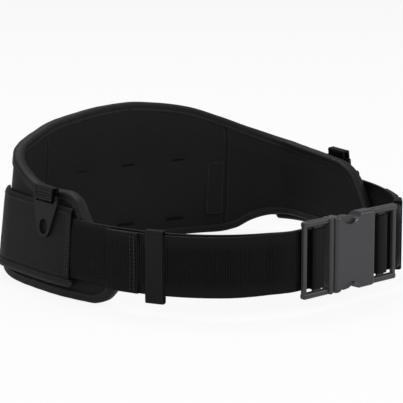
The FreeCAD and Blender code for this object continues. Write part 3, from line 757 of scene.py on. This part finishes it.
def swell(obj, held, most):
    """Air pressure inside the pad, for 20 frames, moving no point further than 'most'."""
    before = corners(obj)
    group = obj.vertex_groups.new(name="held")
    group.add([int(i) for i in np.nonzero(held)[0]], 1.0, "REPLACE")
    cloth = obj.modifiers.new("swell", "CLOTH")
    cloth.settings.quality = 4
    cloth.settings.tension_stiffness = cloth.settings.compression_stiffness = 12
    cloth.settings.bending_stiffness = 2
    cloth.settings.use_pressure = True
    cloth.settings.uniform_pressure_force = 4
    cloth.settings.vertex_group_mass = "held"
    cloth.settings.effector_weights.gravity = 0
    for frame_number in range(1, 21):
        bpy.context.scene.frame_set(frame_number)
    moved = obj.evaluated_get(bpy.context.evaluated_depsgraph_get())
    shape = moved.to_mesh()
    after = np.empty(len(shape.vertices) * 3)
    shape.vertices.foreach_get("co", after)
    moved.to_mesh_clear()
    obj.modifiers.remove(cloth)
    bpy.context.scene.frame_set(1)
    step = after.reshape(-1, 3) - before
    length = np.linalg.norm(step, axis=1)[:, None]
    step *= np.minimum(1, most / np.maximum(length, 1e-9))
    move_to(obj, before + step)
    print("swelled by up to", round(float(length.max()) / MM, 1), "mm, kept to", most / MM)


pad, pad_flat = pad_body()
flat_of = {tuple(np.round(place, 6)): flat for place, flat in zip(corners(pad), pad_flat)}
close_up(pad, 1e-6)
pad_flat = np.array([flat_of[tuple(np.round(place, 6))] for place in corners(pad)])
swell(pad, pinned(pad_flat), 1.6 * MM)

# %% Cover cloth outside, lining inside
pad.data.materials.clear()
for material in (COVER, LINING):
    pad.data.materials.append(material)
for face in pad.data.polygons:
    towards_waist = face.normal.dot(Vector((face.center.x, face.center.y - 0.02, 0))) < 0
    face.material_index = int(towards_waist)
only(pad)
smooth = pad.modifiers.new("smooth", "SUBSURF")
smooth.levels = smooth.render_levels = 1
bpy.ops.object.modifier_apply(modifier="smooth")
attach(pad, "belt")
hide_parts("foam_core", "outer_cover", "inner_lining_center", "inner_lining_right",
            "inner_lining_left")
print("pad body", len(pad.data.polygons), "faces")

# %% [markdown]
# ## Edge binding
# A tape folded over the pad's edge and sewn through with one row of stitches that shows on both
# sides. It is rounder at the edge than at its two lips, and each lip stands a little proud.


# %% Binding tape and its stitches
def binding():
    outer, inner = BIND_N
    middle, half = (outer + inner) / 2, (outer - inner) / 2
    turns = np.linspace(-math.pi / 2, math.pi / 2, 11)
    fold = [(middle + half * abs(math.sin(a)) ** 0.8 * np.sign(math.sin(a)),
             3.2 - 3.2 * math.cos(a) ** 0.8) for a in turns]
    lips = [(inner + 0.5, BIND_WIDTH - 1.9), (inner - 0.1, BIND_WIDTH - 0.8),
            (inner + 0.3, BIND_WIDTH)]
    far_lips = [(outer - 0.3, BIND_WIDTH), (outer + 0.1, BIND_WIDTH - 0.8),
                (outer - 0.5, BIND_WIDTH - 1.9)]
    inside = [(outer - 1.6, BIND_WIDTH), (outer - 1.6, 3.5), (inner + 1.6, 3.5),
              (inner + 1.6, BIND_WIDTH)]
    section = np.array(lips[::-1] + fold + far_lips[::-1] + inside)
    obj, ring, turn = rolled_grid("binding", len(section), len(EDGE), True)
    depth = section[turn, 1]
    place = EDGE[ring] + EDGE_IN[ring] * depth[:, None]
    flat = np.column_stack([place[:, 0], section[turn, 0], place[:, 1]])
    flat[:, 1] += 0.12 * np.sin(EDGE[ring][:, 0] * 0.35) * np.sign(flat[:, 1] + 5.5)
    move_to(obj, wrapped(flat))
    run = np.concatenate([[0], np.cumsum(np.linalg.norm(np.diff(EDGE, axis=0), axis=1))])
    cloth_uv(obj, np.column_stack([run[ring], turn * 2.0]))
    close_up(obj, 1e-6)
    return finished(obj, TAPE, "belt", "binding_tape", "edge_binding")


def beside_edge(depth, n):
    place = EDGE + EDGE_IN * depth
    place = np.vstack([place, place[:1]])
    return np.column_stack([place[:, 0], np.full(len(place), n), place[:, 1]])


binding()
stitches("binding_stitches", [beside_edge(BIND_WIDTH - 1.9, BIND_N[1] + 0.4),
                              beside_edge(BIND_WIDTH - 1.9, BIND_N[0] - 0.4)], wrapped, "belt")

# %% [markdown]
# ## Lining seams, patch and bar tacks
# The lining is three panels joined by upright seams. A small patch is box stitched beside the
# left seam. Each back loop is fixed by two bar tacks, tight zigzags whose dimples show inside.


# %% Patch, seams and tacks
def panel(name, s_range, z_range, n, thick, step=2.0):
    """A flat rectangle with soft, slightly raised edges."""
    s0, s1 = s_range
    z0, z1 = z_range
    path = [(s0, n), (s1, n)]
    return ribbon(name, path, (z0, z1), thick, wrapped, step=step)


PATCH_S, PATCH_Z, PATCH_N = (85.0, 104.0), (0.0, 52.0), -14.6
finished(panel("lining_patch_cloth", PATCH_S, PATCH_Z, PATCH_N, 1.1), LINING, "belt",
         "lining_cloth", "lining_patch")


def box_rows(s_range, z_range, n, margin, cross=True):
    s0, s1, z0, z1 = (s_range[0] + margin, s_range[1] - margin, z_range[0] + margin,
                      z_range[1] - margin)
    a, b, c, d = (s0, n, z0), (s1, n, z0), (s1, n, z1), (s0, n, z1)
    rows = [[a, b], [b, c], [c, d], [d, a]]
    return rows + ([[a, c], [b, d]] if cross else [])


stitches("patch_stitches", box_rows(PATCH_S, PATCH_Z, PATCH_N - 0.7, 2.0, cross=False), wrapped,
         "belt")


def upright_seam(s, n):
    heights = np.linspace(float(pad_bottom(s)) + 9, float(pad_top(s)) - 9, 20)
    depth = lining_depth(np.full(20, s), heights) + n
    return np.column_stack([np.full(20, s), depth, heights])


stitches("seam_stitches", [upright_seam(side * SEAM_S + d, -0.15)
                           for side in (-1, 1) for d in (-2.6, 2.6)], wrapped, "belt")


def tack_rows(n, high):
    rows = []
    for tack in TACK_S:
        for z in TACK_Z:
            across = np.arange(-TACK_LENGTH / 2, TACK_LENGTH / 2 + 0.1, 0.9)
            zigzag = [(tack + a, n, z + high * (1 if k % 2 else -1)) for k, a in enumerate(across)]
            rows += [zigzag[k:k + 2] for k in range(len(zigzag) - 1)]
    return rows


inner_tacks = stitches("bar_tacks_inside", tack_rows(LINING_N + 1.2, 1.0), wrapped, "belt",
                       pitch=2.0, size=(2.3, 0.7, 0.6))
# The tacks take the near-black thread, whose colour is painted shade for their dimples.
inner_tacks.data.materials[0] = TACK_THREAD_PAINTED_SHADE
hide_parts("bar_tacks")

# %% [markdown]
# ## Webbing
# The strap is 50 mm nylon webbing with cross ribs about 2 mm apart. Behind the wing tips it
# belongs to the pad; in front of the right wing tip the strap, its tail and their hem stitches are
# on no body. Its tails are folded back over it, and each ends in a hem turned outwards and sewn.

# %% Straps, tails and hems
SPLIT_S, TAIL_END_S, HEM_LENGTH, TAIL_DROP = 327.0, 322.0, 30.0, 1.5
RIB = 2.0
STRAP_N, TAIL_N, HEM_N = 1.0, 3.3, 5.6


def strap(name, first, last, *nodes):
    path = [(s, STRAP_N) for s in np.linspace(first, last, 200)]
    obj = ribbon(name, path, (0, WEB_HEIGHT), WEB_THICK, wrapped, pitch=RIB, step=0.5)
    return finished(obj, WEB, None, "webbing", *nodes)


def tail(name, side, *nodes):
    end = ENDS[0] + GAP if side < 0 else ENDS[1] - GAP
    fold, radius = side * (TAIL_END_S + 1), (HEM_N - TAIL_N) / 2
    turn = [(fold - side * radius * math.sin(a), TAIL_N + radius - radius * math.cos(a))
            for a in np.linspace(0, math.pi, 12)]
    path = [(s, TAIL_N) for s in np.linspace(end, fold, 200)] + turn
    path += [(side * (TAIL_END_S + HEM_LENGTH), HEM_N - 0.1)]
    path = evenly(path, 0.5)
    drop = TAIL_DROP * ease((abs(end) - np.abs(path[:, 0])) / 60)
    obj = ribbon(name, path, (-drop, WEB_HEIGHT - drop), WEB_THICK, wrapped, pitch=RIB, step=0.5)
    return finished(obj, WEB, None, "webbing", *nodes)


def crossing(obj):
    """Bakes a strap's placing into its points; the places of its sewn end and buckle end are worked
    out but not used.
    """
    start, end = wrapped([(-SPLIT_S, 0, 25), (ENDS[0] + 15, 0, 25)])
    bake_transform(obj)


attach(strap("strap_around", -SPLIT_S, ENDS[1], "main_webbing"), "belt")
crossing(strap("strap_right", ENDS[0] + GAP, -SPLIT_S - GAP, "right_strap_front"))
crossing(tail("tail_right", -1, "right_strap_tail"))
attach(tail("tail_left", 1, "left_strap_tail"), "belt")


def hem_rows(side):
    rows = []
    for back in (3.0, 6.5):
        s = side * (TAIL_END_S + HEM_LENGTH - back)
        rows.append([(s, HEM_N + 1.0, 0.5), (s, HEM_N + 1.0, WEB_HEIGHT - 3.5)])
    return rows


crossing_rows = stitches("hem_stitches_right", hem_rows(-1), wrapped, None)
crossing(crossing_rows)
stitches("hem_stitches_left", hem_rows(1), wrapped, "belt")

# %% [markdown]
# ## Turns around the buckle's bars
# At each end of the buckle the strap comes in below the middle bar, over it and back under the
# end bar. The path is drawn in the buckle's own axes: along it and outwards.

# %% Strap turns
PLUG_BAR, SOCKET_BAR = (-20.5, -11.5), (57.0, 65.0)
BAR_THICK, BAR_THIN = 4.0, 3.0
LADDER_END = np.linalg.norm(BUCKLE_END - BUCKLE_START) - PLUG_LENGTH


def turn_path(near, far, end):
    way = 1 if near > far else -1
    reach = GAP + WEB_THICK / 2
    main, back = WEB_THICK / 2 - BUCKLE_N, TAIL_N - BUCKLE_N
    over = BAR_THIN - BAR_THICK / 2 + reach
    near, far = near + way * reach, far - way * reach
    cut = 1.2
    path = [(end, main), (near - way * cut, main), (near, main + cut), (near, over - cut),
            (near - way * cut, over), (far + way * cut, over), (far, over - cut),
            (far, back + cut / 2), (far - way * cut / 2, back), (end, back)]
    return rounded(path, times=2)


for name, node, body, path in (
        ("turn_right", "right_strap_wrap", "plug",
         turn_path(PLUG_BAR[1], PLUG_BAR[0], -PLUG_LENGTH - STRAP_CLEAR + GAP)),
        ("turn_left", "left_strap_wrap", "belt",
         turn_path(SOCKET_BAR[0], SOCKET_BAR[1], LADDER_END + STRAP_CLEAR - GAP))):
    half = WEB_HEIGHT / 2
    obj = ribbon(name, path, (-half, half), WEB_THICK, in_buckle, pitch=RIB, step=0.5, rib=0.08)
    finished(obj, WEB, body, "webbing", node)

# %% [markdown]
# ## Sleeves, piping, belt loops and keepers
# Each wing carries a flat sleeve that the strap runs through, with a padded roll along its lower
# edge. Three loops of cloth hold the strap to the back, and an elastic keeper holds each tail.

# %% Wing sleeves with piping
SLEEVE_S, SLEEVE_Z, SLEEVE_N = (150.0, 277.0), (-1.5, 57.0), 2.85
PIPING_RADIUS, PIPING_S = 3.0, (156.0, 282.0)


def sleeve(name, side, node):
    low, high = SLEEVE_Z
    n = SLEEVE_N
    top = [(n, high - 3), (n - 0.2, high - 1.4), (n - 0.9, high - 0.5), (n - 2.2, high - 0.3)]
    sewn_in = [(n + 0.3, low - 3.0)]  # the lower edge runs down inside the roll of piping
    path = sewn_in + [(n, low + 0.5), (n + 0.3, 10), (n + 0.1, 27), (n + 0.3, 44)] + top
    width = sorted((side * SLEEVE_S[0], side * SLEEVE_S[1]))
    obj = ribbon(name, rounded(path, 2), width, 1.0, wrapped, upright=False, step=1.5, across=60)
    finished(obj, COVER, "belt", "cover_cloth", node)
    rows = []
    for s in (side * (SLEEVE_S[1] - 5), side * (SLEEVE_S[1] - 2), side * (SLEEVE_S[0] + 4)):
        rows.append([(s, n + 0.62, low + 3), (s, n + 0.75, 27), (s, n + 0.62, high - 4)])
    ends = np.linspace(side * (SLEEVE_S[0] + 4), side * (SLEEVE_S[1] - 5), 60)
    rows.append([(s, n + 0.6, high - 4) for s in ends])
    rows.append([(s, n + 0.7, low + 3) for s in ends])
    stitches(name + "_stitches", rows, wrapped, "belt")


def piping(name, side, node):
    """A soft round roll, closed and tapered at both ends."""
    s = np.linspace(side * PIPING_S[0], side * PIPING_S[1], 90)
    obj, ring, turn = rolled_grid(name, 14, len(s), False)
    swell_in = np.sqrt(np.clip(1 - (np.abs(np.linspace(-1, 1, len(s))) - 0.96).clip(0) ** 2
                               / 0.04 ** 2, 0.05, 1))
    radius = PIPING_RADIUS * swell_in[ring]
    angle = 2 * math.pi * turn / 14
    flat = np.column_stack([s[ring], PIPING_RADIUS + 0.15 + radius * np.cos(angle),
                            SLEEVE_Z[0] - GAP - PIPING_RADIUS + radius * np.sin(angle)])
    move_to(obj, wrapped(flat))
    cloth_uv(obj, np.column_stack([s[ring], turn * 1.3]))
    close_up(obj, 1e-6)
    finished(obj, TAPE, "belt", "binding_tape", node)
    line = SLEEVE_Z[0] - 0.6
    stitches(name + "_stitches", [[(v, 4.4, line) for v in s[2:-2]]], wrapped, "belt")


for side, hand in ((-1, "right"), (1, "left")):
    sleeve("sleeve_" + hand, side, hand + "_wing_sleeve")
    piping("piping_" + hand, side, hand + "_sleeve_piping")

# %% Belt loops and keepers
LOOP_WIDTH, LOOP_Z = 20.0, (-3.0, 56.0)
KEEPER_S, KEEPER_WIDTH, KEEPER_THICK, KEEPER_Z = {-1: 366.0, 1: 382.0}, 15.0, 1.2, (-8.5, 51.8)


def belt_loop(name, s, node):
    low, high = LOOP_Z
    path = [(-1.0, low + 0.5), (2.8, low + 0.7), (2.9, 4), (2.9, high - 6), (2.8, high - 0.8),
            (-1.0, high - 0.5)]
    width = (s - LOOP_WIDTH / 2, s + LOOP_WIDTH / 2)
    obj = ribbon(name, rounded(path, 3), width, 1.0, wrapped, upright=False, step=0.5, pitch=RIB,
                 rib=0.06)
    return finished(obj, WEB, "belt", "webbing", node)


for name, s in (("right", -54.0), ("center", 0.0), ("left", 54.0)):
    belt_loop("loop_" + name, s, "back_loop_" + name)


def keeper(name, side, node, body):
    low, high = KEEPER_Z
    n0, n1 = -0.35 - KEEPER_THICK / 2, 4.65 + KEEPER_THICK / 2
    low, high = low + KEEPER_THICK / 2, high - KEEPER_THICK / 2
    path = [(n0, low), (n1, low), (n1, high), (n0, high)]
    path = evenly(path + path[:1], 1.4)[:-1]
    middle = side * KEEPER_S[side]
    width = (middle - KEEPER_WIDTH / 2, middle + KEEPER_WIDTH / 2)
    obj = ribbon(name, rounded(path, 2, closed=True), width, KEEPER_THICK, wrapped,
                 upright=False, step=0.7, closed=True)
    return finished(obj, ELASTIC, body, "elastic", node)


keeper("keeper_right", -1, "right_keeper", "right_keeper_ring")
keeper("keeper_left", 1, "left_keeper", "left_keeper_ring")

# %% [markdown]
# ## Webbing tabs of the suspender loops
# A short ribbed tab goes down through the slot of each plastic loop and back up, and both its
# ends are sewn to the wing.

# %% Tabs
RING_S, RING_TOP, RING_THICK = 243.0, 63.5, 2.4
TAB_WIDTH, TAB_THICK, TAB_FIT, TAB_RISE, TAB_IN = 24.0, 1.6, 0.7, 8.0, 1.3


def on_wing(side):
    """Places points (across, outwards, up from the loop's bar) on a wing, leaning with it."""
    s = side * RING_S
    n = TAB_IN + TAB_THICK + TAB_FIT + RING_THICK / 2
    base = wrapped([(s, n, RING_TOP)])[0]
    way = at(LINE, np.array([s + 1.0]))[0] - at(LINE, np.array([s - 1.0]))[0]
    out = np.array([-way[1], way[0], 0]) / np.linalg.norm(way)
    across = np.array([out[1], -out[0], 0])
    lean = math.radians(FLARE_DEG)

    def mapped(points):
        x, y, z = (np.asarray(points, float) * MM).T
        level_out = y * math.cos(lean) - z * math.sin(lean)
        up = y * math.sin(lean) + z * math.cos(lean)
        return base + np.outer(x, across) + np.outer(level_out, out) + np.outer(up, [0, 0, 1])
    return mapped


for side, hand in ((-1, "right"), (1, "left")):
    reach = RING_THICK / 2 + TAB_FIT + TAB_THICK / 2
    path = [(-reach, -reach), (reach, -reach), (reach, TAB_RISE - 0.8), (-reach, TAB_RISE - 0.8)]
    path = evenly(path + path[:1], 0.9)[:-1]
    obj = ribbon("tab_" + hand, rounded(path, 2, closed=True), (-TAB_WIDTH / 2, TAB_WIDTH / 2),
                 TAB_THICK, on_wing(side), upright=False, pitch=2.4, rib=0.14, step=0.4,
                 closed=True)
    finished(obj, WEB, "belt", "webbing", hand + "_loop_tab")
    rows = [[(-10, reach + 0.8, 4 + d), (10, reach + 0.8, 4 + d)] for d in (0, 2.2)]
    stitches("tab_stitches_" + hand, rows, on_wing(side), "belt")
